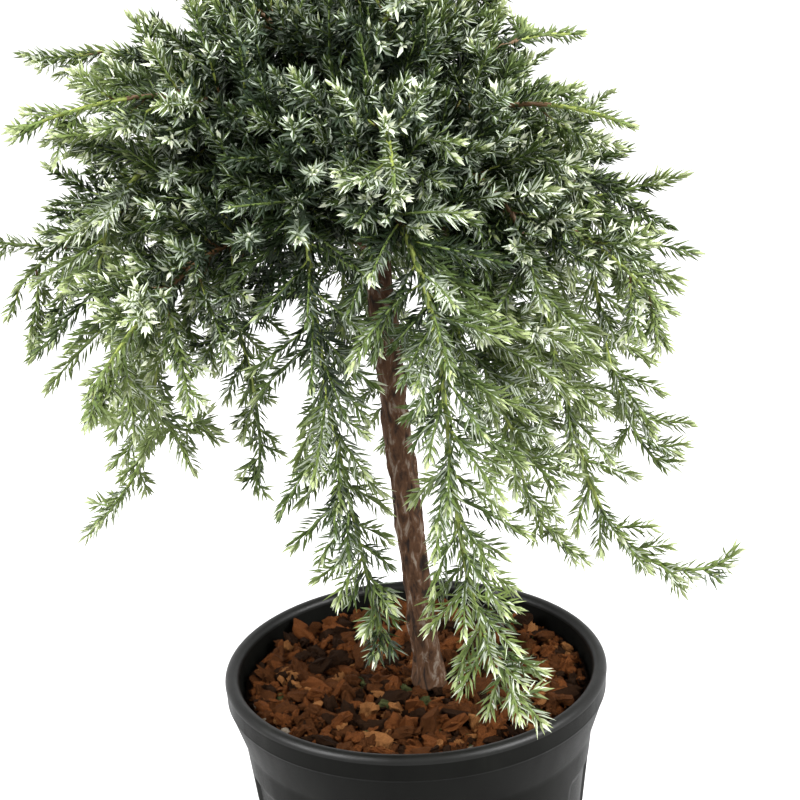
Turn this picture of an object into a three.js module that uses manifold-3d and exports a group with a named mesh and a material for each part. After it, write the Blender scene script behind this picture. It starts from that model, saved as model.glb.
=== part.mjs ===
// A potted standard conifer: a prostrate kind grafted on a short clear stem, with a domed
// head and long weeping tails, in a round nursery pot filled with bark mix.
// Millimetres and degrees. +Z is up, +X is right and -Y is front in the usual view.
// The origin is the middle of the pot's flat underside.

import * as THREE from "three";
import { mergeVertices } from "three/addons/utils/BufferGeometryUtils.js";
import Module from "manifold-3d";

const wasm = await Module();
wasm.setup();

// Driving dimensions
const CLEARANCE = 0.3; // between pieces that meet
const SEED = 5586;

const POT = {
  height: 150,
  rimRadius: 95,
  lipWidth: 7,
  lipDepth: 12, // height of the upright band under the rim
  shoulderDepth: 34, // from the rim down to where the band has run into the wall
  shoulderRadius: 87,
  footRadius: 73,
  wall: 3.4,
  floor: 3,
  panels: 8,
  panelTop: 103,
  panelBottom: 14,
  panelDepth: 1.6,
  segmentsPerPanel: 5,
  drainHoles: 4,
  drainRadius: 5,
  drainCircle: 56,
};

const SOIL = { level: 139.7, bump: 2.4, rings: 3, flatRadius: 21, segments: 20 };

const TRUNK = {
  foot: new THREE.Vector3(7, -3, SOIL.level + CLEARANCE),
  top: new THREE.Vector3(-11, 0, 410),
  bow: -1, // how far its middle stands to the right of a straight line
  flareRadius: 9.4,
  flareHeight: 18,
  radius: 7.2,
  topRadius: 6.4,
  headRadius: 10.5, // the graft head that the boughs leave
  headHeight: 50,
  headTurn: 0.87, // how far the head's swelling has run, of a half turn, at its flat top
  sides: 12,
  flareRings: 3,
  clearRings: 5,
  headRings: 6,
  lobes: 5,
  lobeShare: 0.1,
};

const BOUGH = { tipRadius: 1.5, sides: 5, steps: 4 };
const STEM = { tipRadius: 0.7, steps: 8, sides: 3, end: 0.9 }; // a last spray carries on from its end
const PATH_STEPS = 24;
const GOLDEN_TURN = 2.39996;
const FLICK_FROM = 0.62; // share of a leader's length where its tip starts to turn up
const LOPSIDED = 0.12; // leaders on the left are longer by this share, on the right shorter

// The dome that the crown's shoots reach, about a point left of the trunk
const DOME = { centre: new THREE.Vector3(-25, 0, 372), radius: 160, height: 156 };

// A spray stands for a side shoot: its teeth are smaller shoots in the dome, needles on a tail.
const SPRAY = {
  slant: 42, // between a spray and its stem
  teeth: 3,
  fewTeeth: 2,
  shortLength: 33, // sprays under this length have few teeth
  coreShare: 0.5, // width of the axis between the teeth over the spray's width
  narrowing: 0.6, // how much shorter the teeth get towards the tip
  thickShare: 0.04,
  sunk: 1.6, // how deep its root sits in the stem
  apart: 4, // from other sprays of its mass, away from the stem
  uplift: 0.1, // how far side shoots of a tail turn up to the light
  shorter: [1, 0.8, 0.62], // tried in turn where space is tight
};

// The dense inside of a dome mass, a lumpy spindle about its stem
const CORE = { rings: 3, sides: 5, from: 0.04, to: 0.78, step: 2, fill: 0.85, probes: [-1, -0.5, 0, 0.5, 1] };
const SPACE_MARGIN = 0.5; // what each spray leaves free at the edge of its mass's space
const LIMB_MARGIN = 2.4; // and round boughs and trunk

// Leaders stand in rings on the graft head. Each bends from its rise to its fall, as angles
// above the horizon, over the share of its length called turn, and its tip may flick up.
// Bough is the share of its length that is bare; spray gives its first and last sprays' lengths.
const RINGS = [
  {
    name: "crest", count: 4, first: 95, spread: 90, start: TRUNK.top.z, radius: 2.2, bough: 0,
    rise: 72, fall: 32, turn: 1, length: 125, spray: [68, 46], sprays: 11, halfWidth: 0.36, core: 16,
  },
  {
    name: "shoulder", count: 6, first: 35, spread: 60, start: 402, radius: 2.4, bough: 0.28,
    rise: 40, fall: -12, turn: 1, length: 155, spray: [72, 52], sprays: 13, halfWidth: 0.36, core: 16,
  },
  {
    name: "skirt", count: 6, first: -25, spread: 50, start: 374, radius: 2.6, bough: 0.25,
    rise: 26, fall: -44, turn: 1, length: 166, spray: [70, 52], sprays: 13, halfWidth: 0.36, core: 16,
  },
];

const TAIL = {
  start: 389, stagger: 4, radius: 2.6, bough: 0.19, spray: [60, 34], sprays: 13, halfWidth: 0.28,
};

// Weeping tails, by where they hang. Swing turns a tail's heading along its length.
const TAILS = [
  { name: "front_left", azimuth: -123, rise: 56, fall: -77, length: 303, turn: 0.45, swing: 108, flick: -4 },
  { name: "front_right", azimuth: -98, rise: 44, fall: -86, length: 346, turn: 0.55, swing: 100, flick: 36 },
  { name: "front_middle", azimuth: -68, rise: 36, fall: -69, length: 198, turn: 0.46, swing: 32, flick: 56 },
  { name: "right_front", azimuth: -55, rise: 49, fall: -77, length: 314, turn: 0.4, swing: 62, flick: 132 },
  { name: "right", azimuth: 8, rise: 34, fall: -82, length: 250, turn: 0.5, swing: -12, flick: 40 },
  { name: "back_right", azimuth: 46, rise: 38, fall: -87, length: 312, turn: 0.33, swing: -22, flick: 62 },
  { name: "back", azimuth: 96, rise: 42, fall: -86, length: 300, turn: 0.5, swing: -30, flick: 20 },
  { name: "back_left", azimuth: 133, rise: 40, fall: -103, length: 282, turn: 0.56, swing: 28, flick: 34 },
  { name: "left", azimuth: 166, rise: 29, fall: -81, length: 274, turn: 0.45, swing: 10, flick: 54 },
  { name: "left_front", azimuth: 194, rise: 48, fall: -110, length: 292, turn: 0.74, swing: 48, flick: -76 },
];

const COLOURS = {
  pot: { color: 0x2a2b2b, roughness: 0.55 },
  soil: { color: 0x6b4230, roughness: 0.95 },
  bark: { color: 0x5a4030, roughness: 0.9 },
  bough: { color: 0x6d5a36, roughness: 0.85 },
  foliage: { color: 0x5f7d6a, roughness: 0.7 },
};

const radians = THREE.MathUtils.degToRad;
const lerp = THREE.MathUtils.lerp;
const smoothstep = THREE.MathUtils.smoothstep;

// A seeded source of numbers from 0 to 1.
function seededRandom(seed) {
  let state = seed >>> 0;
  return () => {
    state = (state + 0x6d2b79f5) >>> 0;
    let mixed = Math.imul(state ^ (state >>> 15), state | 1);
    mixed ^= mixed + Math.imul(mixed ^ (mixed >>> 7), mixed | 61);
    return ((mixed ^ (mixed >>> 14)) >>> 0) / 4294967296;
  };
}

// Solids

function toSolid(geometry) {
  const bare = geometry.clone();
  bare.deleteAttribute("normal");
  bare.deleteAttribute("uv");
  const merged = mergeVertices(bare);
  return new wasm.Manifold(
    new wasm.Mesh({
      numProp: 3,
      vertProperties: new Float32Array(merged.attributes.position.array),
      triVerts: new Uint32Array(merged.index.array),
    }),
  );
}

function toGeometry(solid) {
  const mesh = solid.getMesh();
  const geometry = new THREE.BufferGeometry();
  geometry.setAttribute("position", new THREE.BufferAttribute(mesh.vertProperties, 3));
  geometry.setIndex(new THREE.BufferAttribute(mesh.triVerts, 1));
  geometry.computeVertexNormals();
  return geometry;
}

// The largest body of a union, without scraps or sealed hollows.
function joined(solids) {
  const bodies = wasm.Manifold.union(solids).decompose();
  return bodies.reduce((best, body) => (body.volume() > best.volume() ? body : best));
}

function geometryFrom(vertices, triangles) {
  const geometry = new THREE.BufferGeometry();
  geometry.setAttribute("position", new THREE.Float32BufferAttribute(vertices.flat(), 3));
  geometry.setIndex(triangles.flat());
  return geometry;
}

// Turns a profile of [radius, height] pairs, foot first and outside first, round +Z.
function turned(profile, segments) {
  const points = profile.map(([radius, height]) => new THREE.Vector2(radius, height));
  const geometry = new THREE.LatheGeometry(points, segments).rotateX(Math.PI / 2);
  geometry.deleteAttribute("normal");
  geometry.deleteAttribute("uv");
  return geometry;
}

// A closed limb through rings of points, with flat ends.
function skinned(rings) {
  const sides = rings[0].length;
  const vertices = rings.flat().map((point) => point.toArray());
  const triangles = [];
  for (let ring = 0; ring + 1 < rings.length; ring++) {
    for (let side = 0; side < sides; side++) {
      const next = (side + 1) % sides;
      const low = ring * sides;
      const high = low + sides;
      triangles.push([low + side, low + next, high + next]);
      triangles.push([low + side, high + next, high + side]);
    }
  }
  const last = (rings.length - 1) * sides;
  for (let side = 1; side + 1 < sides; side++) {
    triangles.push([0, side + 1, side]);
    triangles.push([last, last + side, last + side + 1]);
  }
  return geometryFrom(vertices, triangles);
}

// Points round a place on a limb, all at one distance from it.
function ringAbout({ point, tangent, across }, radius, sides) {
  return Array.from({ length: sides }, (_, side) => {
    const ray = across.clone().applyAxisAngle(tangent, (2 * Math.PI * side) / sides);
    return point.clone().addScaledVector(ray, radius);
  });
}

// Pot

function wallRadius(height) {
  return lerp(POT.footRadius, POT.shoulderRadius, height / (POT.height - POT.shoulderDepth));
}

function insideRadius(height) {
  const shoulder = POT.height - POT.shoulderDepth;
  if (height <= shoulder) return wallRadius(height) - POT.wall;
  const share = (height - shoulder) / (POT.shoulderDepth - POT.lipWidth / 3);
  return lerp(POT.shoulderRadius - POT.wall, POT.rimRadius - POT.lipWidth, share);
}

function potProfile() {
  const shoulder = POT.height - POT.shoulderDepth;
  const band = POT.height - POT.lipDepth;
  const lipInner = POT.rimRadius - POT.lipWidth;
  const rounding = POT.lipWidth / 3;
  return [
    [0, 0],
    [POT.footRadius - 2, 0],
    [POT.footRadius, 2],
    [wallRadius(POT.panelBottom), POT.panelBottom],
    [wallRadius(POT.panelBottom + 4), POT.panelBottom + 4],
    [wallRadius(POT.panelTop - 5), POT.panelTop - 5],
    [wallRadius(POT.panelTop), POT.panelTop],
    [POT.shoulderRadius, shoulder],
    [POT.rimRadius - 0.7, band],
    [POT.rimRadius, POT.height - rounding * 1.6],
    [POT.rimRadius - rounding, POT.height],
    [lipInner + rounding, POT.height],
    [lipInner, POT.height - rounding],
    [insideRadius(shoulder), shoulder],
    [insideRadius(POT.floor), POT.floor],
    [0, POT.floor],
  ];
}

// Sinks the shallow upright panels into the outside of the wall.
function sinkPanels(geometry) {
  const position = geometry.attributes.position;
  const segments = POT.panels * POT.segmentsPerPanel;
  for (let i = 0; i < position.count; i++) {
    const x = position.getX(i);
    const y = position.getY(i);
    const z = position.getZ(i);
    const radius = Math.hypot(x, y);
    const inPanel = z > POT.panelBottom + 1 && z < POT.panelTop - 1;
    if (!inPanel || radius < wallRadius(z) - 0.1) continue;
    const segment = Math.round((Math.atan2(y, x) / (2 * Math.PI)) * segments + segments) % segments;
    const place = segment % POT.segmentsPerPanel;
    if (place < 2) continue;
    const scale = (radius - POT.panelDepth) / radius;
    position.setXY(i, x * scale, y * scale);
  }
}

function potGeometry() {
  const body = turned(potProfile(), POT.panels * POT.segmentsPerPanel);
  sinkPanels(body);
  let solid = toSolid(body);
  for (let hole = 0; hole < POT.drainHoles; hole++) {
    const angle = (2 * Math.PI * (hole + 0.5)) / POT.drainHoles;
    const drill = new THREE.CylinderGeometry(POT.drainRadius, POT.drainRadius, POT.floor * 4, 6)
      .rotateX(Math.PI / 2)
      .translate(POT.drainCircle * Math.cos(angle), POT.drainCircle * Math.sin(angle), 0);
    solid = solid.subtract(toSolid(drill));
  }
  return toGeometry(solid);
}

// Bark mix that fills the pot, lumpy on top but level under the trunk

function soilGeometry(random) {
  const shoulder = POT.height - POT.shoulderDepth;
  const bottom = POT.floor + CLEARANCE;
  const topEdge = SOIL.level - 2;
  const gap = CLEARANCE * 2;
  const edge = insideRadius(topEdge) - gap;
  const profile = [
    [0, bottom],
    [insideRadius(bottom) - gap, bottom],
    [insideRadius(shoulder) - gap, shoulder],
    [edge, topEdge],
  ];
  for (let ring = 1; ring <= SOIL.rings; ring++) {
    profile.push([lerp(edge, SOIL.flatRadius, ring / SOIL.rings), SOIL.level]);
  }
  profile.push([0, SOIL.level]);
  const geometry = mergeVertices(turned(profile, SOIL.segments));
  const position = geometry.attributes.position;
  for (let i = 0; i < position.count; i++) {
    const radius = Math.hypot(position.getX(i), position.getY(i));
    const lumpy = position.getZ(i) > topEdge + 1 && radius > SOIL.flatRadius + 1;
    if (lumpy) position.setZ(i, SOIL.level + SOIL.bump * (random() * 2 - 1));
  }
  return geometry;
}

// Trunk

function trunkAxis(height) {
  const share = (height - TRUNK.foot.z) / (TRUNK.top.z - TRUNK.foot.z);
  const point = new THREE.Vector3().lerpVectors(TRUNK.foot, TRUNK.top, share);
  point.x += TRUNK.bow * Math.sin(Math.PI * share);
  return point;
}

function smoothTrunkRadius(height) {
  const share = (height - TRUNK.foot.z) / (TRUNK.top.z - TRUNK.foot.z);
  const plain = lerp(TRUNK.radius, TRUNK.topRadius, share);
  const flare = Math.max(0, 1 - (height - TRUNK.foot.z) / TRUNK.flareHeight) ** 2;
  const intoHead = Math.max(0, height - TRUNK.top.z + TRUNK.headHeight) / TRUNK.headHeight;
  const swell = Math.sin(Math.PI * TRUNK.headTurn * intoHead);
  return plain + (TRUNK.flareRadius - TRUNK.radius) * flare + (TRUNK.headRadius - plain) * swell;
}

// The trunk's rings stand closer in its flare and head than along its clear stem.
function trunkRings() {
  const flareTop = TRUNK.foot.z + TRUNK.flareHeight;
  const headFoot = TRUNK.top.z - TRUNK.headHeight;
  const spans = [
    [TRUNK.foot.z, flareTop, TRUNK.flareRings],
    [flareTop, headFoot, TRUNK.clearRings],
    [headFoot, TRUNK.top.z, TRUNK.headRings],
  ];
  const heights = spans.flatMap(([low, high, count]) =>
    Array.from({ length: count }, (_, ring) => lerp(low, high, ring / count)),
  );
  return [...heights, TRUNK.top.z].map((height) => ({ height, radius: smoothTrunkRadius(height) }));
}

const TRUNK_RINGS = trunkRings();

// The radius of the trunk's edges, which run straight from ring to ring.
function trunkRadius(height) {
  const above = TRUNK_RINGS.findIndex((ring) => ring.height >= height);
  if (above <= 0) return TRUNK_RINGS.at(above).radius;
  const [low, high] = [TRUNK_RINGS[above - 1], TRUNK_RINGS[above]];
  return lerp(low.radius, high.radius, (height - low.height) / (high.height - low.height));
}

// How far the many-sided trunk reaches towards a bearing, over a stretch of its height.
function trunkReach(height, half, azimuth) {
  const facet = 360 / TRUNK.sides;
  const fromEdge = Math.abs(azimuth / facet - Math.round(azimuth / facet)) * facet;
  const radii = [height - half, height, height + half].map(trunkRadius);
  return Math.max(...radii) * Math.cos(radians(fromEdge));
}

function trunkGeometry(random) {
  const turn = 2 * Math.PI * random();
  const flareTop = TRUNK.foot.z + TRUNK.flareHeight;
  const rings = TRUNK_RINGS.map(({ height, radius }) => {
    const centre = trunkAxis(height);
    const lobe = TRUNK.lobeShare * (1 - smoothstep(height, TRUNK.foot.z, flareTop));
    return Array.from({ length: TRUNK.sides }, (_, side) => {
      const angle = (2 * Math.PI * side) / TRUNK.sides;
      const reach = radius * (1 + lobe * Math.cos(TRUNK.lobes * angle + turn));
      return centre.clone().add(new THREE.Vector3(reach * Math.cos(angle), reach * Math.sin(angle), 0));
    });
  });
  return skinned(rings);
}

// Leaders: a bough from the graft head and the stem of a mass of foliage beyond it

function heading(azimuth, lift) {
  const flat = Math.cos(radians(lift));
  return new THREE.Vector3(
    flat * Math.cos(radians(azimuth)),
    flat * Math.sin(radians(azimuth)),
    Math.sin(radians(lift)),
  );
}

// A leader starts on the side of the head, or on its flat top.
function leaderStart({ azimuth, start, rise, radius }) {
  const out = heading(azimuth, 0);
  if (start < TRUNK.top.z) {
    const half = radius / Math.cos(radians(rise));
    return trunkAxis(start).addScaledVector(out, trunkReach(start, half, azimuth) + CLEARANCE);
  }
  const point = TRUNK.top.clone().addScaledVector(out, TRUNK.topRadius - radius);
  point.z += CLEARANCE + radius * Math.cos(radians(rise));
  return point;
}

function leaderCurve(leader) {
  const { azimuth, rise, fall, length, turn, swing, flick } = leader;
  const point = leaderStart(leader);
  const points = [];
  for (let step = 0; step <= PATH_STEPS; step++) {
    points.push(point.clone());
    const share = step / PATH_STEPS;
    const upturn = Math.max(0, (share - FLICK_FROM) / (1 - FLICK_FROM));
    const lift = lerp(rise, fall, smoothstep(share, 0, turn)) + flick * upturn ** 2;
    point.addScaledVector(heading(azimuth + swing * share, lift), length / PATH_STEPS);
  }
  return new THREE.CatmullRomCurve3(points);
}

function ringLeaders(ring, random) {
  return Array.from({ length: ring.count }, (_, index) => {
    const azimuth = ring.first + ring.spread * (index + 0.2 * (random() - 0.5));
    const longer = 1 - LOPSIDED * Math.cos(radians(azimuth));
    return {
      ...ring,
      name: `${ring.name}_${index + 1}`,
      azimuth,
      rise: ring.rise + 10 * (random() - 0.5),
      length: ring.length * longer * (1 + 0.1 * (random() - 0.5)),
      swing: 24 * (random() - 0.5),
      flick: 0,
    };
  });
}

function tailLeaders() {
  return TAILS.map((tail, index) => ({
    ...TAIL,
    ...tail,
    name: `tail_${tail.name}`,
    isTail: true,
    start: TAIL.start + (index % 2 ? -TAIL.stagger : TAIL.stagger),
  }));
}

function grownLeaders(random) {
  const leaders = [...RINGS.flatMap((ring) => ringLeaders(ring, random)), ...tailLeaders()];
  for (const leader of leaders) {
    leader.curve = leaderCurve(leader);
    leader.from = leader.bough ? leader.bough + CLEARANCE / leader.length : 0;
    leader.stemRadius = leader.bough ? BOUGH.tipRadius : leader.radius;
    leader.boughPath = leader.bough ? pathAlong(leader, 0, leader.bough) : [];
    leader.stemPath = pathAlong(leader, leader.from, STEM.end);
  }
  return leaders;
}

function pathAlong({ curve }, from, to) {
  const steps = Math.ceil((to - from) * PATH_STEPS);
  return Array.from({ length: steps + 1 }, (_, step) => curve.getPointAt(lerp(from, to, step / steps)));
}

// A place on a leader, its direction there and the level way across it.
function placeOn({ curve, azimuth, swing }, share) {
  const tangent = curve.getTangentAt(share);
  const level = heading(azimuth + swing * share + 90, 0);
  const across = level.addScaledVector(tangent, -level.dot(tangent)).normalize();
  return { point: curve.getPointAt(share), tangent, across };
}

// The rings of a round limb along part of a leader.
function limbRings(leader, { from, to, steps, sides }, startRadius, endRadius) {
  return Array.from({ length: steps + 1 }, (_, step) => {
    const radius = lerp(startRadius, endRadius, step / steps);
    return ringAbout(placeOn(leader, lerp(from, to, step / steps)), radius, sides);
  });
}

// A bough's foot is cut upright, to face the side of the head.
function boughGeometry(leader) {
  const span = { from: 0, to: leader.bough, steps: BOUGH.steps, sides: BOUGH.sides };
  const rings = limbRings(leader, span, leader.radius, BOUGH.tipRadius);
  const { point, tangent } = placeOn(leader, 0);
  const out = heading(leader.azimuth, 0);
  for (const corner of rings[0]) {
    const short = point.clone().sub(corner).dot(out) / tangent.dot(out);
    corner.addScaledVector(tangent, short);
  }
  return skinned(rings);
}

function stemGeometry(leader) {
  const span = { from: leader.from, to: STEM.end, steps: STEM.steps, sides: STEM.sides };
  return skinned(limbRings(leader, span, leader.stemRadius, STEM.tipRadius));
}

// Sprays: toothed blades with a ridge, rooted at the origin and pointing along +X

function sprayVertices(length, halfWidth, teeth) {
  const pitch = length / (teeth + 0.8);
  const vertices = { root: [0, 0, 0], tip: [length, 0, 0], ridge: [], left: [], right: [] };
  for (let tooth = 0; tooth < teeth; tooth++) {
    const along = pitch * (tooth + 0.35);
    const reach = halfWidth * (1 - SPRAY.narrowing * (tooth / teeth));
    const core = reach * SPRAY.coreShare;
    vertices.ridge.push([along + pitch * 0.5, 0, length * SPRAY.thickShare]);
    vertices.left.push([along, core, 0], [along + reach, reach, 0]);
    vertices.right.push([along, -core, 0], [along + reach, -reach, 0]);
  }
  return vertices;
}

function sprayGeometry(length, halfWidth, teeth) {
  const { root, tip, ridge, left, right } = sprayVertices(length, halfWidth, teeth);
  const vertices = [root, tip, ...ridge, ...left, ...right];
  const ridgeAt = (tooth) => 2 + tooth;
  const edgeAt = (side, place) => 2 + teeth + side * 2 * teeth + place;
  const notchAt = (side, tooth) => (tooth < teeth ? edgeAt(side, 2 * tooth) : 1);
  const triangles = [[0, notchAt(0, 0), notchAt(1, 0)]];
  for (const side of [0, 1]) {
    const face = (a, b, c) => triangles.push(side ? [a, c, b] : [a, b, c]);
    face(0, ridgeAt(0), notchAt(side, 0));
    for (let tooth = 0; tooth < teeth; tooth++) {
      const notch = notchAt(side, tooth);
      const point = edgeAt(side, 2 * tooth + 1);
      const onward = notchAt(side, tooth + 1);
      face(notch, ridgeAt(tooth), point);
      face(point, ridgeAt(tooth), onward);
      face(notch, point, onward);
      if (tooth + 1 < teeth) face(onward, ridgeAt(tooth), ridgeAt(tooth + 1));
    }
  }
  for (let tooth = 0; tooth < teeth; tooth++) {
    triangles.push([notchAt(0, tooth), notchAt(0, tooth + 1), notchAt(1, tooth)]);
    if (tooth + 1 === teeth) continue;
    triangles.push([notchAt(0, tooth + 1), notchAt(1, tooth + 1), notchAt(1, tooth)]);
  }
  return geometryFrom(vertices, triangles);
}

// Where a mass may grow: nearer to its own stem than to any other, and clear of every limb

function distanceToPath(point, path) {
  const nearest = new THREE.Vector3();
  const piece = new THREE.Line3();
  let best = Infinity;
  for (let i = 0; i + 1 < path.length; i++) {
    piece.set(path[i], path[i + 1]).closestPointToPoint(point, true, nearest);
    best = Math.min(best, nearest.distanceTo(point));
  }
  return best;
}

function clearOfLimbs(point, leaders) {
  const low = TRUNK.foot.z - 20;
  if (point.z > low && point.z < TRUNK.top.z + 6) {
    const axis = trunkAxis(Math.min(point.z, TRUNK.top.z));
    if (axis.distanceTo(point) < trunkRadius(Math.min(point.z, TRUNK.top.z)) + LIMB_MARGIN) return false;
  }
  const nearPot = point.z < POT.height + 4 && Math.hypot(point.x, point.y) < POT.rimRadius + 4;
  if (nearPot) return false;
  return leaders.every(
    (leader) => !leader.bough || distanceToPath(point, leader.boughPath) > leader.radius + LIMB_MARGIN,
  );
}

function inOwnSpace(point, own, leaders) {
  const mine = distanceToPath(point, own.stemPath) + SPACE_MARGIN * 2;
  return leaders.every((leader) => leader === own || distanceToPath(point, leader.stemPath) > mine);
}

// Places on a spray that are tested: the corners, edge middles and centres of its faces.
function testPoints(geometry, root) {
  const position = geometry.attributes.position;
  const index = geometry.index.array;
  const points = [];
  for (let i = 0; i < index.length; i += 3) {
    const corners = [0, 1, 2].map((k) => new THREE.Vector3().fromBufferAttribute(position, index[i + k]));
    const middles = corners.map((corner, k) => corner.clone().lerp(corners[(k + 1) % 3], 0.5));
    points.push(...corners, ...middles, corners[0].clone().lerp(middles[1], 2 / 3));
  }
  return points.filter((point) => point.distanceTo(root) > SPRAY.sunk * 2.2);
}

function inDome(point) {
  const level = point.clone().sub(DOME.centre);
  const rise = Math.max(0, level.z) / DOME.height;
  return Math.hypot(level.x / DOME.radius, level.y / DOME.radius, rise) < 1;
}

function suits(point, own, near) {
  return clearOfLimbs(point, near) && inOwnSpace(point, own, near) && (own.isTail || inDome(point));
}

function leadersNear(own, root, leaders) {
  return leaders.filter((leader) => leader === own || comesNear(leader, root, own.spray[0] * 2));
}

// Whether a spray's tested places suit its leader and keep off the sprays already there.
function fits(points, root, own, leaders, taken) {
  const near = leadersNear(own, root, leaders);
  const free = points.filter((point) => point.distanceTo(root) > SPRAY.apart * 3);
  return (
    points.every((point) => suits(point, own, near)) &&
    free.every((point) => taken.every((other) => other.distanceTo(point) > SPRAY.apart))
  );
}

function comesNear(leader, point, reach) {
  return [leader.boughPath, leader.stemPath].some((path) => distanceToPath(point, path) < reach);
}

// Masses of foliage

// Lays a spray from a root on a stem, its flat side turned to face a given way.
function placedSpray(root, direction, facing, length, halfWidth) {
  const along = direction.clone().normalize();
  const across = facing.clone().cross(along).normalize();
  const upward = along.clone().cross(across);
  const place = new THREE.Matrix4().makeBasis(along, across, upward);
  place.setPosition(root.clone().addScaledVector(along, -SPRAY.sunk));
  const teeth = length < SPRAY.shortLength ? SPRAY.fewTeeth : SPRAY.teeth;
  return sprayGeometry(length, halfWidth, teeth).applyMatrix4(place);
}

// Sprays leave a tail's stem to either side in turn, and a dome leader's stem all round.
function sprayDirection(leader, { tangent, across }, index, random) {
  const turn = leader.isTail
    ? Math.PI * index + 0.9 * (random() - 0.5)
    : GOLDEN_TURN * index + 0.5 * random();
  const isLast = index === leader.sprays;
  const slant = radians(isLast ? 4 : SPRAY.slant + 14 * (random() - 0.5));
  const direction = tangent
    .clone()
    .multiplyScalar(Math.cos(slant))
    .addScaledVector(across.clone().applyAxisAngle(tangent, turn), Math.sin(slant));
  if (leader.isTail && !isLast) direction.z += SPRAY.uplift;
  return direction.normalize();
}

// How far a core may swell from its stem one way, felt out in small steps.
function coreReach(leader, leaders, share, side) {
  const { point, tangent, across } = placeOn(leader, share);
  const ray = across.applyAxisAngle(tangent, (2 * Math.PI * side) / CORE.sides);
  const near = leadersNear(leader, point, leaders);
  let reach = leader.stemRadius;
  while (reach < leader.core) {
    if (!suits(point.clone().addScaledVector(ray, reach + CORE.step), leader, near)) break;
    reach += CORE.step;
  }
  return reach;
}

function coreGeometry(leader, leaders) {
  const shareAt = (ring) => {
    const along = THREE.MathUtils.clamp(ring / CORE.rings, 0, 1);
    return lerp(leader.from, STEM.end, lerp(CORE.from, CORE.to, along));
  };
  const rings = [];
  for (let ring = 0; ring <= CORE.rings; ring++) {
    const swell = CORE.fill * Math.sin(Math.PI * lerp(0.1, 0.93, ring / CORE.rings)) ** 0.6;
    const place = placeOn(leader, shareAt(ring));
    const outline = ringAbout(place, 1, CORE.sides).map((point, side) => {
      const felt = CORE.probes.flatMap((along) =>
        CORE.probes.map((about) => coreReach(leader, leaders, shareAt(ring + along), side + about)),
      );
      const reach = Math.max(leader.stemRadius * 1.3, swell * Math.min(...felt));
      return place.point.clone().lerp(point, reach);
    });
    rings.push(outline);
  }
  return skinned(rings);
}

function massSolid(leader, leaders, random) {
  const pieces = [toSolid(stemGeometry(leader))];
  if (leader.core) pieces.push(toSolid(coreGeometry(leader, leaders)));
  const taken = [];
  for (let index = 0; index <= leader.sprays; index++) {
    const share = lerp(0.05, 0.985, index / leader.sprays);
    const place = placeOn(leader, lerp(leader.from, STEM.end, share));
    const direction = sprayDirection(leader, place, index, random);
    const outward = place.point.clone().sub(DOME.centre).normalize();
    outward.applyAxisAngle(direction, (leader.isTail ? 0.8 : 1.6) * (random() - 0.5));
    const length = lerp(leader.spray[0], leader.spray[1], share) * (0.88 + 0.24 * random());
    for (const shorter of SPRAY.shorter) {
      const reach = length * shorter;
      const geometry = placedSpray(place.point, direction, outward, reach, reach * leader.halfWidth);
      const points = testPoints(geometry, place.point);
      if (!fits(points, place.point, leader, leaders, taken)) continue;
      pieces.push(toSolid(geometry));
      taken.push(...points.filter((point) => point.distanceTo(place.point) > SPRAY.apart * 2));
      break;
    }
  }
  return joined(pieces);
}

// The whole plant

function addPiece(group, name, geometry, look) {
  const mesh = new THREE.Mesh(geometry, new THREE.MeshStandardMaterial({ metalness: 0, ...look }));
  mesh.name = name;
  group.add(mesh);
}

function buildPlant() {
  const random = seededRandom(SEED);
  const plant = new THREE.Group();
  addPiece(plant, "pot", potGeometry(), COLOURS.pot);
  addPiece(plant, "soil", soilGeometry(random), COLOURS.soil);
  addPiece(plant, "trunk", trunkGeometry(random), COLOURS.bark);
  const leaders = grownLeaders(random);
  for (const leader of leaders) {
    if (leader.bough) addPiece(plant, `bough_${leader.name}`, boughGeometry(leader), COLOURS.bough);
    const mass = massSolid(leader, leaders, random);
    addPiece(plant, `foliage_${leader.name}`, toGeometry(mass), COLOURS.foliage);
  }
  return plant;
}

const plant = buildPlant();
export default plant;
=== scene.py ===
# Looks of a potted standard conifer with a domed head and weeping tails.
# Named sizes are millimetres and degrees in the frame of the solids; meshes are written in metres.

import math
from collections import namedtuple
from types import SimpleNamespace as Values

import bpy
import numpy as np
from mathutils import Matrix, Vector


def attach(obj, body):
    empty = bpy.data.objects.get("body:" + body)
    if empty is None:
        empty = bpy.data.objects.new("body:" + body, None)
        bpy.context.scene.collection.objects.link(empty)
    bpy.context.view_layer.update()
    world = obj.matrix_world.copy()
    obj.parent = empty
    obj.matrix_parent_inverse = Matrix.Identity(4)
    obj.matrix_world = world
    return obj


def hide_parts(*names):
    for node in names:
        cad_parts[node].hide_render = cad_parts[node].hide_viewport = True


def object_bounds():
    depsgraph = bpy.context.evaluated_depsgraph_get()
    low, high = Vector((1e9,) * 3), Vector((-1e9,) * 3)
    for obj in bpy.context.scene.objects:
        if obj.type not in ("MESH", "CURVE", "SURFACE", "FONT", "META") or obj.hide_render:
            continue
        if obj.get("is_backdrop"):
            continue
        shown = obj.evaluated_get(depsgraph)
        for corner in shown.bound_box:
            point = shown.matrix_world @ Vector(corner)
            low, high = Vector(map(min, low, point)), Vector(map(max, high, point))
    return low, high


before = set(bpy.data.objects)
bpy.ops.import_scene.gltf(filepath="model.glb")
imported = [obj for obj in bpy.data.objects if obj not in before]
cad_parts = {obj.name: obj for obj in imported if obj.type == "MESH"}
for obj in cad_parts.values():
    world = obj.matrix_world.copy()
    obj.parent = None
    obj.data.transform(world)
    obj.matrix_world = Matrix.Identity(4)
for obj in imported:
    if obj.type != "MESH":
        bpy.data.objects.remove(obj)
cad_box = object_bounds()

MM = 0.001
SEED = 5586
UP = np.array([0.0, 0.0, 1.0])

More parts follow.
